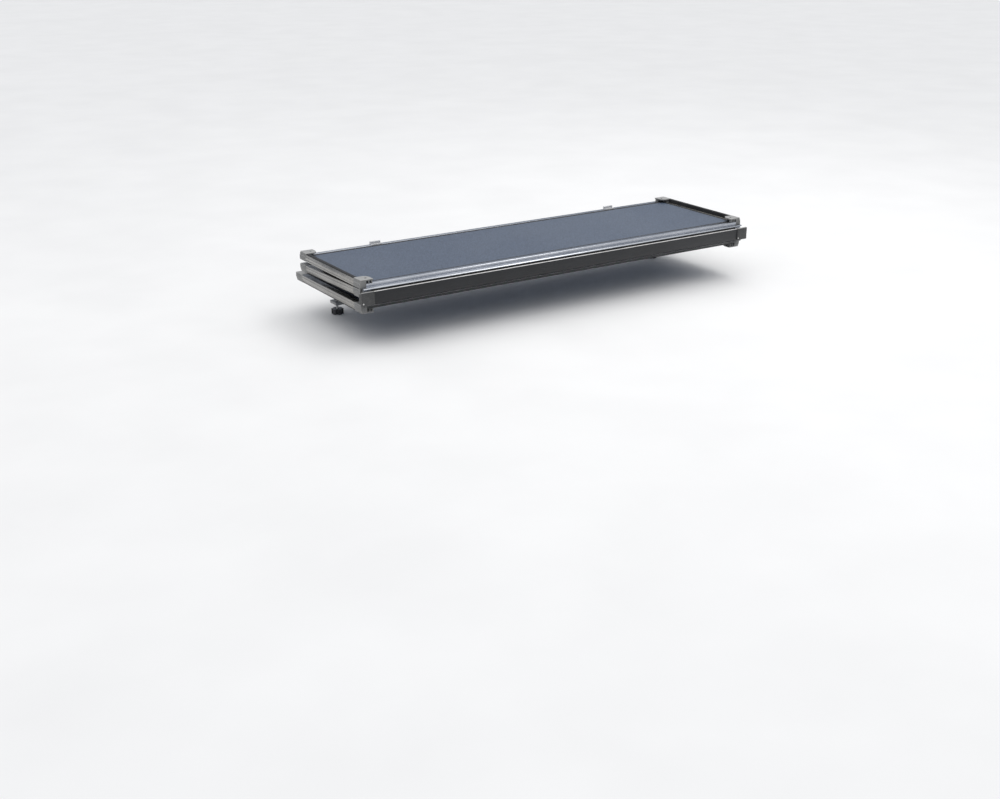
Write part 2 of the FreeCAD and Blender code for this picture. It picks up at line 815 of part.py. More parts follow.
def write_nodes():
    """Check every object, then write one STEP file for each sub-part."""
    doc.recompute()
    for item in doc.Objects:
        if "Invalid" in item.State or "Error" in item.State:
            raise RuntimeError(f"{item.Name} did not build: {item.State}")
    os.makedirs("parts", exist_ok=True)
    for label, item in NODES.items():
        shape = item.Shape
        if shape.isNull() or not shape.isValid():
            raise RuntimeError(f"{label} has no valid shape")
        shape.exportStep(os.path.join("parts", f"{label}.step"))
        print(f"{label}: {len(shape.Solids)} solid(s), {shape.Volume / 1000:.1f} cm3")


front_panel()
hinge_bar()
middle_panel()
rear_panel()
front_clamps()
write_nodes()
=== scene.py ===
import bmesh
import bpy
import json
import math
from mathutils import Euler, Matrix, Vector


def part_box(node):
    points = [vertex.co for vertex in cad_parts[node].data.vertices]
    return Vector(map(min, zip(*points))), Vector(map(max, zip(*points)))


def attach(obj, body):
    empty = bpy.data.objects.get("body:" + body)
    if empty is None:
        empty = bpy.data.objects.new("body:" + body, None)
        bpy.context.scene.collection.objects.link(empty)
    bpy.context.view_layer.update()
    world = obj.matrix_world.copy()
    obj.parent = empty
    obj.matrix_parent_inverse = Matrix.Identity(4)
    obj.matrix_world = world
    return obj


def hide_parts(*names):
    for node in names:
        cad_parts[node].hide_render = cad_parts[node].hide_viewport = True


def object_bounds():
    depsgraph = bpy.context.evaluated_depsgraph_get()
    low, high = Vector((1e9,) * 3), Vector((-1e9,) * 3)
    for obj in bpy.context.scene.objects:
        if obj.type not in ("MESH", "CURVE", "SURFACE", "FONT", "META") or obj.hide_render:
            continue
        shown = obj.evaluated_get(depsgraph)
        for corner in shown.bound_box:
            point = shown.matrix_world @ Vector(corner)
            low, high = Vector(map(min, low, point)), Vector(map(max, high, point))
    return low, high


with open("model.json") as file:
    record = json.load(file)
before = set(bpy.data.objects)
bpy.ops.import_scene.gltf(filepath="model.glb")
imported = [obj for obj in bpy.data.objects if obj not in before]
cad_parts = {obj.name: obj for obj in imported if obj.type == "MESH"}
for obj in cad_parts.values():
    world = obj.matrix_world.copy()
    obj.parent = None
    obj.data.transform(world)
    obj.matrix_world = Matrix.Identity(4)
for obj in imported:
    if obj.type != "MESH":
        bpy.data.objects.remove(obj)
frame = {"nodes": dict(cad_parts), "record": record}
cad_low, cad_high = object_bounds()
cad_nodes = frame["nodes"]
PANELS = ("front", "middle", "rear")
BODY_OF = {
    node: body
    for body, nodes in frame["record"]["behaviour"]["bodies"].items()
    for node in nodes
}
SLOT_OF = {entry["node"]: entry["material_slot"] for entry in frame["record"]["subparts"]}
MM = 0.001
SAME_PLACE = 2e-5  # metres: vertices nearer than this are one vertex
ACROSS = Vector((1, 0, 0))


# ------------------------------------------------------------------ materials
class Shader:
    """A procedural material, built node by node."""

    def __init__(self, name, **constants):
        self.material = bpy.data.materials.new(name)
        self.material.use_nodes = True
        self.tree = self.material.node_tree
        self.surface = self.tree.nodes["Principled BSDF"]
        for socket, number in constants.items():
            self.surface.inputs[socket.replace("_", " ")].default_value = number
        place = self.tree.nodes.new("ShaderNodeTexCoord")
        self.place = place.outputs["Object"]
        self.facing = place.outputs["Normal"]

    def link(self, source, target):
        self.tree.links.new(source, target)

    def noise(self, scale, detail=2.0, rough=0.5, stretch=(1, 1, 1)):
        """Grain of about 1 / scale metres, drawn out along an axis by stretch."""
        mapping = self.tree.nodes.new("ShaderNodeMapping")
        mapping.inputs["Scale"].default_value = stretch
        texture = self.tree.nodes.new("ShaderNodeTexNoise")
        texture.inputs["Scale"].default_value = scale
        texture.inputs["Detail"].default_value = detail
        texture.inputs["Roughness"].default_value = rough
        self.link(self.place, mapping.inputs["Vector"])
        self.link(mapping.outputs["Vector"], texture.inputs["Vector"])
        return texture.outputs["Fac"]

    def cells(self, scale):
        """Rounded pebbles of about 1 / scale metres."""
        texture = self.tree.nodes.new("ShaderNodeTexVoronoi")
        texture.feature = "SMOOTH_F1"
        texture.inputs["Scale"].default_value = scale
        texture.inputs["Smoothness"].default_value = 0.6
        self.link(self.place, texture.inputs["Vector"])
        return texture.outputs["Distance"]

    def ramp(self, source, *stops):
        """Grey or colour stops, each (position, colour)."""
        ramp = self.tree.nodes.new("ShaderNodeValToRGB")
        while len(ramp.color_ramp.elements) < len(stops):
            ramp.color_ramp.elements.new(0.5)
        for element, (position, colour) in zip(ramp.color_ramp.elements, stops):
            element.position = position
            channels = colour if isinstance(colour, tuple) else (colour,) * 3
            element.color = (*channels, 1)
        self.link(source, ramp.inputs["Fac"])
        return ramp.outputs["Color"]

    def mix(self, mask, first, second, mode="MIX"):
        """Blend two colours by a mask; each of the three is a socket or a constant."""
        mix = self.tree.nodes.new("ShaderNodeMix")
        mix.data_type = "RGBA"
        mix.blend_type = mode
        for socket, value in (("Factor_Float", mask), ("A_Color", first), ("B_Color", second)):
            target = next(item for item in mix.inputs if item.identifier == socket)
            if isinstance(value, (int, float, tuple)):
                target.default_value = value
            else:
                self.link(value, target)
        return next(item for item in mix.outputs if item.identifier == "Result_Color")

    def edge_wear_and_highlight(self, radius=1.1 * MM, most=1.0):
        """White on the last millimetre beside an edge, broken up as rubbed edges are: partly edge wear,
        partly a painted highlight along the edge.
        """
        rounded = self.tree.nodes.new("ShaderNodeBevel")
        rounded.samples = 4
        rounded.inputs["Radius"].default_value = radius
        geometry = self.tree.nodes.new("ShaderNodeNewGeometry")
        match = self.tree.nodes.new("ShaderNodeVectorMath")
        match.operation = "DOT_PRODUCT"
        self.link(rounded.outputs["Normal"], match.inputs[0])
        self.link(geometry.outputs["Normal"], match.inputs[1])
        edge = self.ramp(match.outputs["Value"], (0.86, most), (0.985, 0.0))
        patches = self.ramp(self.noise(90, 4, 0.7), (0.38, 0.25), (0.60, 1.0))
        return self.mix(1.0, edge, patches, "MULTIPLY")

    def top_light_and_dust(self, low=0.35, high=0.75, most=0.9):
        """Patchy white on faces that look up while the cover is folded: painted top light, with patches
        of dust.
        """
        sides = self.tree.nodes.new("ShaderNodeSeparateXYZ")
        self.link(self.facing, sides.inputs["Vector"])
        upward = self.ramp(sides.outputs["Z"], (low, 0.0), (high, most))
        patches = self.ramp(self.noise(48, 4, 0.65), (0.30, 0.72), (0.62, 1.0))
        return self.mix(1.0, upward, patches, "MULTIPLY")

    def bump(self, height, strength, distance, under=None):
        """A bumped normal; under is the normal of a coarser or finer bump beneath it."""
        bump = self.tree.nodes.new("ShaderNodeBump")
        bump.inputs["Strength"].default_value = strength
        bump.inputs["Distance"].default_value = distance
        self.link(height, bump.inputs["Height"])
        if under is not None:
            self.link(under, bump.inputs["Normal"])
        return bump.outputs["Normal"]

    def finish(self, colour, roughness, normal=None):
        """Link what is given to the surface and hand back the material."""
        sources = {"Base Color": colour, "Roughness": roughness, "Normal": normal}
        for socket, source in sources.items():
            if source is not None:
                self.link(source, self.surface.inputs[socket])
        return self.material


def coated_sheet():
    """Pebble-grained black powder coat on the panels' sheets, painted blue-grey as a sky reflection, with
    faint dust.
    """
    shader = Shader("pebble_coated_sheet", Specular_IOR_Level=0.5)
    pebbles = shader.cells(300)
    hammer = shader.noise(150, 3, 0.6)
    grain = shader.noise(1500, 3, 0.6)
    dust = shader.noise(3.1, 5, 0.62)
    # The blue-grey tones below are a painted sky reflection on the black coat.
    speckle = shader.ramp(pebbles, (0.10, (0.108, 0.142, 0.205)), (0.62, (0.036, 0.050, 0.080)))
    raised = shader.ramp(hammer, (0.42, 0.0), (0.66, 0.45))
    dusted = shader.ramp(dust, (0.42, 0.0), (0.78, 0.26))
    colour = shader.mix(raised, speckle, (0.128, 0.165, 0.235, 1))
    colour = shader.mix(dusted, colour, (0.140, 0.165, 0.205, 1))
    rough = shader.ramp(dust, (0.3, 0.40), (0.8, 0.54))
    normal = shader.bump(grain, 0.20, 0.0003)
    normal = shader.bump(hammer, 0.40, 0.0010, normal)
    normal = shader.bump(pebbles, 0.60, 0.0010, normal)
    return shader.finish(colour, rough, normal)


def satin_extrusion(name, dark, light, metallic, roughness, lit_and_dusty_top=False):
    """Satin anodised or coated extrusion: fine grain, draw lines along it, pale edges that are rubbed
    wear and a painted edge highlight, and if asked, paler upward faces that are painted top light with
    dust.
    """
    shader = Shader(name, Metallic=metallic)
    grain = shader.noise(1800, 2, 0.5)
    lines = shader.noise(420, 3, 0.55, (0.02, 1, 1))
    blotch = shader.noise(9, 4, 0.6)
    colour = shader.ramp(blotch, (0.32, dark), (0.72, light))
    # Pale edge colour: rubbed wear and a painted edge highlight.
    worn_and_lit_edge = tuple(min(1.0, 1.5 * part + 0.03) for part in light) + (1,)
    colour = shader.mix(shader.edge_wear_and_highlight(), colour, worn_and_lit_edge)
    # Paler faces that look up: painted top light with some dust.
    if lit_and_dusty_top:
        colour = shader.mix(shader.top_light_and_dust(), colour, (0.80, 0.79, 0.78, 1))
    rough = shader.ramp(lines, (0.3, roughness - 0.05), (0.7, roughness + 0.07))
    normal = shader.bump(lines, 0.10, 0.0003)
    normal = shader.bump(grain, 0.22, 0.00025, normal)
    return shader.finish(colour, rough, normal)


def moulded_plastic(name, dark, light, roughness, top=None):
    """Spark-textured moulded plastic, speckled and slightly chalky, with pale edges of wear and painted
    highlight, and paler where it looks up: painted top light with dust.
    """
    shader = Shader(name, Specular_IOR_Level=0.4)
    grain = shader.noise(1300, 3, 0.65)
    speckle = shader.noise(520, 4, 0.7)
    chalk = shader.noise(22, 4, 0.6)
    colour = shader.ramp(speckle, (0.36, dark), (0.66, light))
    pale = tuple(min(1.0, 1.35 * part + 0.02) for part in light) + (1,)
    colour = shader.mix(shader.ramp(chalk, (0.48, 0.0), (0.78, 0.5)), colour, pale)
    # Pale edges: rubbed wear and a painted edge highlight.
    colour = shader.mix(shader.edge_wear_and_highlight(), colour, pale)
    # top is the colour of the painted top light, with dust, on faces that look up.
    if top:
        colour = shader.mix(shader.top_light_and_dust(), colour, (*top, 1))
    rough = shader.ramp(grain, (0.3, roughness - 0.06), (0.7, roughness + 0.08))
    normal = shader.bump(grain, 0.45, 0.0004)
    return shader.finish(colour, rough, normal)


def seal_rubber():
    shader = Shader("seal_rubber", Specular_IOR_Level=0.35)
    bloom = shader.noise(16, 4, 0.65)
    grain = shader.noise(900, 2, 0.5)
    colour = shader.ramp(bloom, (0.35, (0.016, 0.016, 0.017)), (0.8, (0.045, 0.045, 0.046)))
    rough = shader.ramp(bloom, (0.3, 0.62), (0.8, 0.82))
    return shader.finish(colour, rough, shader.bump(grain, 0.3, 0.0004))


def plated_steel():
    shader = Shader("zinc_plated_steel", Metallic=1.0)
    cloud = shader.noise(60, 4, 0.6)
    scratch = shader.noise(700, 3, 0.6, (1, 1, 0.05))
    colour = shader.ramp(cloud, (0.3, (0.42, 0.43, 0.43)), (0.7, (0.66, 0.66, 0.64)))
    # Pale edges: rubbed wear and a painted edge highlight.
    colour = shader.mix(shader.edge_wear_and_highlight(), colour, (0.80, 0.79, 0.76, 1))
    rough = shader.ramp(cloud, (0.3, 0.24), (0.7, 0.40))
    return shader.finish(colour, rough, shader.bump(scratch, 0.15, 0.0002))


def blackened_steel():
    shader = Shader("blackened_steel", Metallic=0.8)
    cloud = shader.noise(240, 4, 0.6)
    colour = shader.ramp(cloud, (0.3, (0.030, 0.030, 0.032)), (0.7, (0.075, 0.075, 0.078)))
    # Pale edges: rubbed wear and a painted edge highlight.
    colour = shader.mix(shader.edge_wear_and_highlight(), colour, (0.22, 0.22, 0.215, 1))
    rough = shader.ramp(cloud, (0.3, 0.38), (0.7, 0.55))
    return shader.finish(colour, rough, shader.bump(cloud, 0.2, 0.0003))


def cast_aluminium():
    shader = Shader("cast_aluminium", Metallic=0.85)
    pits = shader.noise(340, 4, 0.65)
    cloud = shader.noise(25, 4, 0.6)
    colour = shader.ramp(cloud, (0.3, (0.24, 0.245, 0.25)), (0.75, (0.36, 0.36, 0.36)))
    # Pale edges: rubbed wear and a painted edge highlight.
    colour = shader.mix(shader.edge_wear_and_highlight(), colour, (0.62, 0.62, 0.61, 1))
    rough = shader.ramp(pits, (0.3, 0.42), (0.7, 0.60))
    return shader.finish(colour, rough, shader.bump(pits, 0.5, 0.0006))


def honeycomb_core():
    shader = Shader("honeycomb_core", Specular_IOR_Level=0.2)
    cells = shader.cells(160)
    colour = shader.ramp(cells, (0.2, (0.50, 0.42, 0.30)), (0.6, (0.66, 0.58, 0.44)))
    rough = shader.ramp(cells, (0.2, 0.80), (0.7, 0.95))
    return shader.finish(colour, rough, shader.bump(cells, 0.6, 0.001))


def studio_floor():
    shader = Shader("pale_floor", Specular_IOR_Level=0.3)
    paper = shader.noise(3, 3, 0.5)
    colour = shader.ramp(paper, (0.3, (0.80, 0.80, 0.80)), (0.7, (0.83, 0.83, 0.83)))
    rough = shader.ramp(paper, (0.3, 0.70), (0.7, 0.78))
    return shader.finish(colour, rough)


MATERIALS = {
    "panel_sheet": coated_sheet(),
    "honeycomb_core": honeycomb_core(),
    "side_rail_satin": satin_extrusion(
        "satin_side_rail", (0.25, 0.243, 0.23), (0.38, 0.37, 0.35), 0.9, 0.28),
    "rail_black": satin_extrusion(
        "satin_cross_rail", (0.40, 0.42, 0.46), (0.50, 0.52, 0.56), 0.9, 0.20),
    # The bar's faces that look up, such as its top chamfer, get painted top light with dust.
    "bar_black": satin_extrusion(
        "satin_bar", (0.004, 0.0045, 0.006), (0.010, 0.011, 0.014), 0.0, 0.40, lit_and_dusty_top=True),
    # The last colour here and for cap_plastic is painted top light with dust, on faces that look up.
    "corner_plastic": moulded_plastic(
        "grey_plastic", (0.13, 0.13, 0.127), (0.24, 0.24, 0.235), 0.50, (0.36, 0.36, 0.355)),
    "cap_plastic": moulded_plastic(
        "cap_plastic", (0.030, 0.030, 0.031), (0.075, 0.075, 0.074), 0.50, (0.32, 0.32, 0.315)),
    "tab_satin": satin_extrusion("tab_satin", (0.50, 0.50, 0.51), (0.66, 0.66, 0.67), 0.35, 0.34),
    "screw_black": blackened_steel(),
    "seal_rubber": seal_rubber(),
    "steel_zinc": plated_steel(),
    "cast_grey": cast_aluminium(),
    "latch_black": moulded_plastic("black_housing", (0.016, 0.016, 0.017), (0.034, 0.034, 0.035), 0.46),
    "black_plastic": moulded_plastic("black_plastic", (0.020, 0.020, 0.021), (0.040, 0.040, 0.042), 0.40),
}


# ------------------------------------------------------------------ finished copies of CAD shapes
FLAT_ANGLE = math.radians(1)
EASED_ANGLE = math.radians(30)
EASED_SHARP = 32  # degrees, as are the other angles for shade()
PLAIN_SHARP = 30
HEAD_SHARP = 35
HEXAGON_SHARP = 25
SOFT_SHARP = 50
COILED_SHARP = 60
FINE_RADIUS = 1  # millimetres: rounder edges than this get a third segment


def new_piece(name, mesh, material):
    piece = bpy.data.objects.new(name, mesh)
    bpy.context.scene.collection.objects.link(piece)
    mesh.materials.clear()
    mesh.materials.append(material)
    return piece


def settle(piece):
    """Apply a piece's modifiers to its mesh."""
    graph = bpy.context.evaluated_depsgraph_get()
    mesh = bpy.data.meshes.new_from_object(piece.evaluated_get(graph))
    piece.modifiers.clear()
    old = piece.data
    piece.data = mesh
    bpy.data.meshes.remove(old)


def shade(piece, angle):
    """Smooth shading, kept sharp at edges beyond an angle in degrees."""
    for polygon in piece.data.polygons:
        polygon.use_smooth = True
    piece.data.set_sharp_from_angle(angle=math.radians(angle))


def join_body(piece, node):
    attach(piece, BODY_OF[node])


def eased(node, radius, segments=2):
    """A copy of a CAD node with its edges rounded, shown in the node's place."""
    work = bmesh.new()
    work.from_mesh(cad_nodes[node].data)
    bmesh.ops.remove_doubles(work, verts=work.verts, dist=SAME_PLACE)
    bmesh.ops.dissolve_limit(work, angle_limit=FLAT_ANGLE, verts=work.verts, edges=work.edges)
    mesh = bpy.data.meshes.new(f"{node}_finish")
    work.to_mesh(mesh)
    work.free()
    piece = new_piece(f"{node}_finish", mesh, MATERIALS[SLOT_OF[node]])
    bevel = piece.modifiers.new("edges", "BEVEL")
    bevel.width = radius
    bevel.segments = segments
    bevel.limit_method = "ANGLE"
    bevel.angle_limit = EASED_ANGLE
    bevel.use_clamp_overlap = True
    bevel.harden_normals = False
    settle(piece)
    shade(piece, EASED_SHARP)
    join_body(piece, node)
    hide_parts(node)


# Edge radius of each rounded node, in millimetres.
EASED = {
    "front_hinge_rail": 0.5, "middle_hinge_rail": 0.5,
    "rear_tail_rail": 0.5, "front_bulkhead_rail": 0.5,
    "bar_end_cap_left": 1.6, "bar_end_cap_right": 1.6, "stow_tabs": 0.9,
    "clamp_bracket_left": 1.5, "clamp_bracket_right": 1.5, "clamp_jaw_left": 1.5,
    "clamp_jaw_right": 1.5, "clamp_knob_left": 2.0, "clamp_knob_right": 2.0,
    "latch_housing_left": 1.5, "latch_housing_right": 1.5, "hinge_bar": 0.6,
    "latch_bolt_left": 0.5, "latch_bolt_right": 0.5, "tail_hinge_pin": 0.5, "clamp_pad_left": 1.0,
    "clamp_pad_right": 1.0, "bulkhead_seal": 1.2, "tailgate_seal": 1.2, "middle_tail_rail": 0.35,
    "rear_hinge_rail": 0.35,
}
for panel in PANELS:
    EASED[f"{panel}_corners"] = 1.1
    EASED[f"{panel}_side_rail_left"] = 0.45
    EASED[f"{panel}_side_rail_right"] = 0.45
    EASED[f"{panel}_side_seals"] = 0.4
for node, radius in EASED.items():
    eased(node, radius * MM, 3 if radius > FINE_RADIUS else 2)
for node, piece in cad_nodes.items():
    piece.data.materials.clear()
    piece.data.materials.append(MATERIALS[SLOT_OF[node]])
    if node not in EASED:
        shade(piece, PLAIN_SHARP)


# ------------------------------------------------------------------ sealant beads round the sheets, also a painted shadow line at each sheet's edge
BEAD_WIDTH = 9 * MM
BEAD_HEIGHT = 1.35 * MM
BEAD_STEPS = 6
SHEET_INSET = 3 * MM  # from a panel's outer edge to the sheet's
SIDE_FLANGE = 22 * MM  # from a panel's outer edge to the inner edge of a side rail's flange
CROSS_FLANGE = 20 * MM  # the same for a cross rail


def sheet_axes(sheet, core):
    """The middle of a sheet's outer face, its half sizes, and its along and outward directions."""
    vertices = cad_nodes[sheet].data.vertices
    corners = {tuple(round(part, 6) for part in vertex.co) for vertex in vertices}
    by_length = sorted((Vector(corner) for corner in corners), key=lambda corner: corner.y)
    rear, front = by_length[:4], by_length[4:]
    along = (sum(front, Vector()) - sum(rear, Vector())).normalized()
    outward = ACROSS.cross(along)
    core_low, core_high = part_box(core)
    middle = sum(by_length, Vector()) / len(by_length)
    if (middle - (core_low + core_high) / 2).dot(outward) < 0:
        outward = -outward
    spread = [corner - middle for corner in by_length]
    half_x = max(offset.dot(ACROSS) for offset in spread)
    half_y = max(offset.dot(along) for offset in spread)
    middle += outward * max(offset.dot(outward) for offset in spread)
    return middle, half_x, half_y, along, outward


def sheet_bead_and_shadow_line(panel, layer):
    """The low rubber bead on a sheet beside the rails' flanges, mitred at its corners; near-black, it
    also serves as a painted shadow line at the sheet's edge.
    """
    sheet = f"{panel}_{layer}"
    middle, half_x, half_y, along, outward = sheet_axes(sheet, f"{panel}_core")
    edge_x = half_x + SHEET_INSET - SIDE_FLANGE
    edge_y = half_y + SHEET_INSET - CROSS_FLANGE
    work = bmesh.new()
    rings = []
    for step in range(BEAD_STEPS + 1):
        turn = math.pi * step / BEAD_STEPS
        inward = BEAD_WIDTH / 2 * (1 - math.cos(turn))
        lift = outward * (BEAD_HEIGHT * math.sin(turn))
        ring = []
        for side_x, side_y in ((-1, -1), (1, -1), (1, 1), (-1, 1)):
            place = ACROSS * side_x * (edge_x - inward) + along * side_y * (edge_y - inward)
            ring.append(work.verts.new(middle + place + lift))
        rings.append(ring)
    for outer, inner in zip(rings, rings[1:]):
        for corner in range(4):
            after = (corner + 1) % 4
            work.faces.new((outer[corner], outer[after], inner[after], inner[corner]))
    bmesh.ops.recalc_face_normals(work, faces=work.faces)
    mesh = bpy.data.meshes.new(f"{sheet}_bead")
    work.to_mesh(mesh)
    work.free()
    piece = new_piece(f"{sheet}_bead", mesh, MATERIALS["seal_rubber"])
    shade(piece, SOFT_SHARP)
    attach(piece, BODY_OF[sheet])


for panel in PANELS:
    sheet_bead_and_shadow_line(panel, "skin")
    sheet_bead_and_shadow_line(panel, "liner")


# ------------------------------------------------------------------ screws, threads, springs and feet
TURN_SEGMENTS = 36
HEX_SIDE = math.radians(60)
END_FACE_DEPTH = 0.02 * MM
DOMED_SHOULDER = 0.45  # depth of a screw head's shoulder, as a share of its height
FLAT_SHOULDER = 0.12
SOCKET_SHARE = 0.46  # a socket's corner radius, as a share of its head's radius
SOCKET_CHAMFER = 0.12 * MM
HEXAGON_SHARE = 0.84  # a bolt head's corner radius, as a share of its washer's radius
WASHER_SHARE = 0.75  # depth of the washer's face, as a share of the head's height
FOOT_STEPS = 6


def islands(node):
    """The vertex places of each separate solid in a CAD node."""
    work = bmesh.new()
    work.from_mesh(cad_nodes[node].data)
    bmesh.ops.remove_doubles(work, verts=work.verts, dist=SAME_PLACE)
    waiting = set(work.verts)
    found = []
    while waiting:
        group = []
        edge_of_group = [waiting.pop()]
        while edge_of_group:
            vertex = edge_of_group.pop()
            group.append(vertex.co.copy())
            for edge in vertex.link_edges:
                other = edge.other_vert(vertex)
                if other in waiting:
                    waiting.remove(other)
                    edge_of_group.append(other)
        found.append(group)
    work.free()
    return sorted(found, key=lambda places: (round(places[0].x, 3), round(places[0].y, 3)))


def round_form(places, outward):
    """The middle of a round solid's outer end face, and its largest radius about outward."""
    top = max(place.dot(outward) for place in places)
    face = [place for place in places if place.dot(outward) > top - END_FACE_DEPTH]
    middle = sum(face, Vector()) / len(face)
    offsets = [place - middle for place in places]
    radius = max((offset - outward * offset.dot(outward)).length for offset in offsets)
    return middle, radius


def six_sided(radius, turn):
    """A hexagon's radius at an angle, for its corner radius."""
    return radius * math.cos(HEX_SIDE / 2) / math.cos(turn % HEX_SIDE - HEX_SIDE / 2)


def turned(work, middle, outward, profile):
    """Add a turned solid: profile lists (radius, depth below the outer face, hexagonal or not)."""
    side = outward.orthogonal().normalized()
    other = outward.cross(side)
    rings = []
    for radius, depth, hexagonal in profile:
        ring = []
        for step in range(TURN_SEGMENTS):
            turn = 2 * math.pi * step / TURN_SEGMENTS
            reach = six_sided(radius, turn) if hexagonal else radius
            spoke = side * math.cos(turn) + other * math.sin(turn)
            ring.append(work.verts.new(middle + spoke * reach - outward * depth))
        rings.append(ring)
    for first, second in zip(rings, rings[1:]):
        for step in range(TURN_SEGMENTS):
            after = (step + 1) % TURN_SEGMENTS
            work.faces.new((first[step], first[after], second[after], second[step]))
    work.faces.new(rings[0])
    work.faces.new(tuple(reversed(rings[-1])))


def finish_turned(work, name, node, angle):
    """Close a bmesh of turned solids into one piece shown in its CAD node's place."""
    bmesh.ops.recalc_face_normals(work, faces=work.faces)
    mesh = bpy.data.meshes.new(name)
    work.to_mesh(mesh)
    work.free()
    piece = new_piece(name, mesh, MATERIALS[SLOT_OF[node]])
    shade(piece, angle)
    join_body(piece, node)
    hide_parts(node)


def socket_heads(node, outward, head_height, domed=True):
    """Screw heads with hexagon sockets, domed or flat."""
    work = bmesh.new()
    shoulder = head_height * (DOMED_SHOULDER if domed else FLAT_SHOULDER)
    for places in islands(node):
        middle, radius = round_form(places, outward)
        socket = radius * SOCKET_SHARE
        turned(work, middle, outward, [
            (radius * 0.9, head_height, False),
            (radius, head_height * 0.94, False),
            (radius, shoulder, False),
            (radius * 0.90, shoulder * 0.45, False),
            (radius * 0.72, shoulder * 0.10, False),
            (socket * 1.08, 0, True),
            (socket, SOCKET_CHAMFER, True),
            (socket * 0.97, head_height * 0.55, True),
        ])
    finish_turned(work, f"{node}_finish", node, HEAD_SHARP)


def hexagon_heads(node, outward, head_height):
    """Bolts with chamfered hexagon heads standing on round washers."""
    work = bmesh.new()
    washer = head_height * WASHER_SHARE
    for places in islands(node):
        middle, radius = round_form(places, outward)
        turned(work, middle, outward, [
            (radius, head_height, False),
            (radius, washer, False),
            (radius * HEXAGON_SHARE, washer, True),
            (radius * HEXAGON_SHARE, head_height * 0.14, True),
            (radius * 0.70, 0, False),
        ])
    finish_turned(work, f"{node}_finish", node, HEXAGON_SHARP)


def rubber_feet(node, outward):
    """Crowned bumper feet with a moulded dimple."""
    work = bmesh.new()
    for places in islands(node):
        middle, radius = round_form(places, outward)
        levels = [place.dot(outward) for place in places]
        height = max(levels) - min(levels)
        profile = [(radius, height, False), (radius * 0.97, height * 0.5, False)]
        for step in range(1, FOOT_STEPS):
            turn = math.pi / 2 * step / FOOT_STEPS
            crown = radius * (0.75 + 0.20 * math.cos(turn))
            profile.append((crown, height * 0.4 * (1 - math.sin(turn)), False))
        profile.append((radius * 0.70, 0, False))
        profile.append((radius * 0.30, 0, False))
        profile.append((radius * 0.22, height * 0.2, False))
        turned(work, middle, outward, profile)
    finish_turned(work, f"{node}_finish", node, SOFT_SHARP)


THREAD_PITCH = 1.25 * MM
THREAD_DEPTH = 0.55 * MM
ROWS_PER_TURN = 5


def threaded_rod(node):
    """An upright screw with a rolled helical thread."""
    low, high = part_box(node)
    middle = (low + high) / 2
    radius = (high.x - low.x) / 2
    rows = int((high.z - low.z) / THREAD_PITCH * ROWS_PER_TURN)
    work = bmesh.new()
    rings = []
    for row in range(rows + 1):
        height = low.z + (high.z - low.z) * row / rows
        ring = []
        for step in range(TURN_SEGMENTS):
            share = step / TURN_SEGMENTS
            phase = (height / THREAD_PITCH - share) % 1.0
            reach = radius - THREAD_DEPTH * (1 - abs(2 * phase - 1)) * (0 < row < rows)
            turn = 2 * math.pi * share
            place_x = middle.x + reach * math.cos(turn)
            place_y = middle.y + reach * math.sin(turn)
            ring.append(work.verts.new((place_x, place_y, height)))
        rings.append(ring)
    for first, second in zip(rings, rings[1:]):
        for step in range(TURN_SEGMENTS):
            after = (step + 1) % TURN_SEGMENTS
            work.faces.new((first[step], first[after], second[after], second[step]))
    work.faces.new(tuple(reversed(rings[0])))
    work.faces.new(rings[-1])
    finish_turned(work, f"{node}_thread", node, COILED_SHARP)


WIRE_RADIUS = 0.65 * MM
WIRE_SIDES = 8
COIL_TURNS = 6
COIL_STEPS = 24


def coil_spring(node):
    """A compression spring wound along X in its CAD sleeve's place."""
    low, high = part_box(node)
    middle = (low + high) / 2
    coil_radius = (high.y - low.y) / 2 - WIRE_RADIUS
    start = low.x + WIRE_RADIUS
    length = high.x - low.x - 2 * WIRE_RADIUS
    rise = length / (COIL_TURNS * 2 * math.pi * coil_radius)
    work = bmesh.new()
    rings = []
    for step in range(COIL_TURNS * COIL_STEPS + 1):
        turn = 2 * math.pi * step / COIL_STEPS
        spoke = Vector((0, math.cos(turn), math.sin(turn)))
        centre = Vector((start + length * step / (COIL_TURNS * COIL_STEPS), middle.y, middle.z))
        centre += spoke * coil_radius
        forward = Vector((rise, -math.sin(turn), math.cos(turn))).normalized()
        upright = forward.cross(spoke)
        ring = []
        for side in range(WIRE_SIDES):
            around = 2 * math.pi * side / WIRE_SIDES
            offset = spoke * math.cos(around) + upright * math.sin(around)
            ring.append(work.verts.new(centre + offset * WIRE_RADIUS))
        rings.append(ring)
    for first, second in zip(rings, rings[1:]):
        for side in range(WIRE_SIDES):
            after = (side + 1) % WIRE_SIDES
            work.faces.new((first[side], first[after], second[after], second[side]))
    work.faces.new(tuple(reversed(rings[0])))
    work.faces.new(rings[-1])
    finish_turned(work, f"{node}_coil", node, COILED_SHARP)


CORNER_HEAD = 2 * MM
TAB_HEAD = 2 * MM
CAP_HEAD = 1 * MM
BOLT_HEAD = 4 * MM
TAILWARD = Vector((0, -1, 0))

underside = {panel: sheet_axes(f"{panel}_liner", f"{panel}_core")[-1] for panel in PANELS}
for panel in PANELS:
    socket_heads(f"{panel}_corner_screws", underside[panel], CORNER_HEAD, domed=False)
socket_heads("stow_tab_screws", underside["middle"], TAB_HEAD)
socket_heads("bar_cap_screws", TAILWARD, CAP_HEAD)
hexagon_heads("clamp_bolts", underside["front"], BOLT_HEAD)
rubber_feet("latch_feet", underside["rear"])
for side in ("left", "right"):
    threaded_rod(f"clamp_screw_{side}")
    coil_spring(f"latch_spring_{side}")


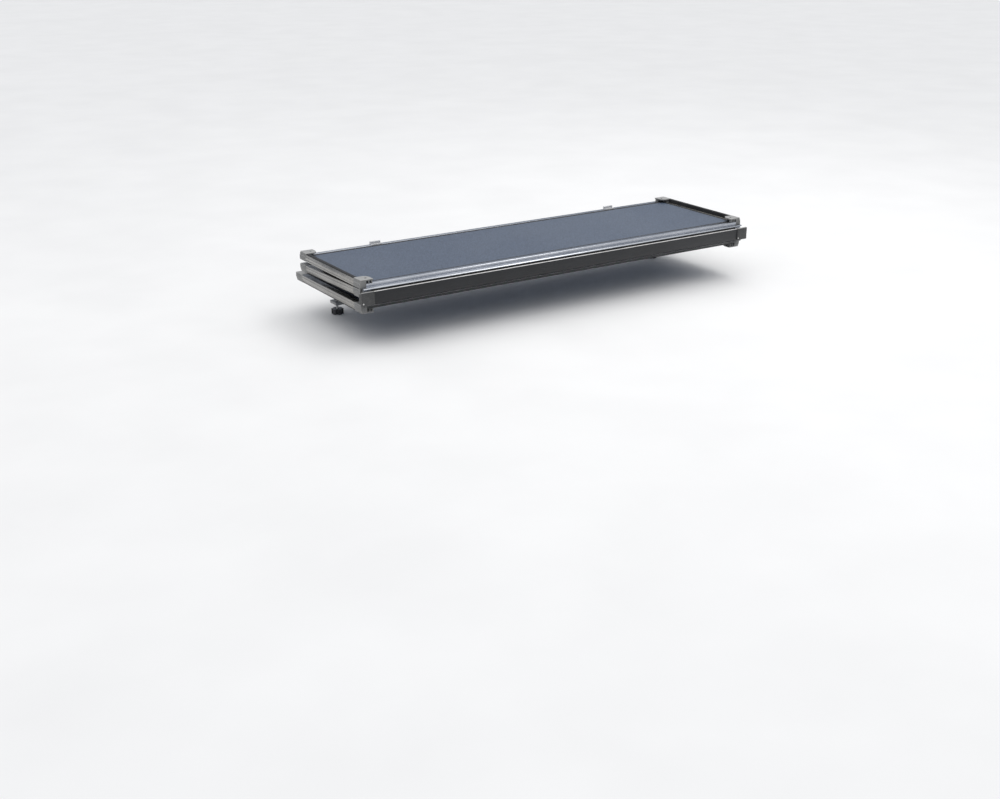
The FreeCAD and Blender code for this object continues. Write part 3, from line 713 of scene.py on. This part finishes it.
# ------------------------------------------------------------------ stage, light and camera
VIEW_AZIMUTH = math.radians(-32.8)
VIEW_ELEVATION = math.radians(20.85)
VIEW_ROLL = math.radians(-0.13)
LENS_MM = 47.27
EYE = Vector((-2.6006, -4.0826, 1.2334))
FLOOR_HALF = 60.0
FLOOR_CORNERS = ((-1, -1), (1, -1), (1, 1), (-1, 1))
HORIZON_COLOUR = (0.26, 0.29, 0.35, 1)
ZENITH_COLOUR = (1.30, 1.30, 1.30, 1)
BACKDROP_COLOUR = (0.82, 0.83, 0.84, 1)

floor_mesh = bpy.data.meshes.new("studio_floor")
floor_mesh.from_pydata(
    [(FLOOR_HALF * x, FLOOR_HALF * y, cad_low[2]) for x, y in FLOOR_CORNERS], [], [(0, 1, 2, 3)])
floor = new_piece("studio_floor", floor_mesh, studio_floor())


def soft_light(name, place, aim, size, power, colour):
    """A rectangular area light at place, facing aim."""
    light = bpy.data.lights.new(name, "AREA")
    light.shape = "RECTANGLE"
    light.size, light.size_y = size
    light.energy = power
    light.color = colour
    lamp = bpy.data.objects.new(name, light)
    lamp.location = place
    lamp.rotation_euler = (Vector(aim) - Vector(place)).to_track_quat("-Z", "Y").to_euler()
    bpy.context.scene.collection.objects.link(lamp)


soft_light("overhead", place=(1.6, -0.9, 3.2), aim=(0, -0.3, 0), size=(4.6, 1.0), power=38,
           colour=(1.0, 0.985, 0.96))
soft_light("left_low", place=(-3.4, 0.6, 0.5), aim=(0, -0.2, 0.05), size=(2.6, 0.9), power=5,
           colour=(1.0, 0.95, 0.88))


def studio_sky():
    """A soft dome: dim near the horizon and bright overhead, behind an even pale backdrop."""
    world = bpy.data.worlds.new("studio_sky")
    world.use_nodes = True
    tree = world.node_tree
    place = tree.nodes.new("ShaderNodeTexCoord")
    sides = tree.nodes.new("ShaderNodeSeparateXYZ")
    ramp = tree.nodes.new("ShaderNodeValToRGB")
    tree.links.new(place.outputs["Generated"], sides.inputs["Vector"])
    tree.links.new(sides.outputs["Z"], ramp.inputs["Fac"])
    low_stop, high_stop = ramp.color_ramp.elements
    low_stop.position = 0.30
    low_stop.color = HORIZON_COLOUR
    high_stop.position = 0.72
    high_stop.color = ZENITH_COLOUR
    rays = tree.nodes.new("ShaderNodeLightPath")
    seen = tree.nodes.new("ShaderNodeMix")
    seen.data_type = "RGBA"
    lit, backdrop = (item for item in seen.inputs if item.identifier in ("A_Color", "B_Color"))
    backdrop.default_value = BACKDROP_COLOUR
    tree.links.new(rays.outputs["Is Camera Ray"], seen.inputs["Factor"])
    tree.links.new(ramp.outputs["Color"], lit)
    result = next(item for item in seen.outputs if item.identifier == "Result_Color")
    tree.links.new(result, tree.nodes["Background"].inputs["Color"])
    return world


bpy.context.scene.world = studio_sky()

camera_data = bpy.data.cameras.new("photo_camera")
camera_data.sensor_width = 36
camera_data.lens = LENS_MM
camera_data.clip_start = 0.05
camera_data.clip_end = 100
camera = bpy.data.objects.new("photo_camera", camera_data)
camera.location = EYE
facing = Euler((math.pi / 2 - VIEW_ELEVATION, 0, VIEW_AZIMUTH), "XYZ").to_matrix()
camera.rotation_euler = (facing @ Matrix.Rotation(VIEW_ROLL, 3, "Z")).to_euler()
bpy.context.scene.collection.objects.link(camera)
bpy.context.scene.camera = camera
bpy.context.scene.view_settings.view_transform = "Standard"
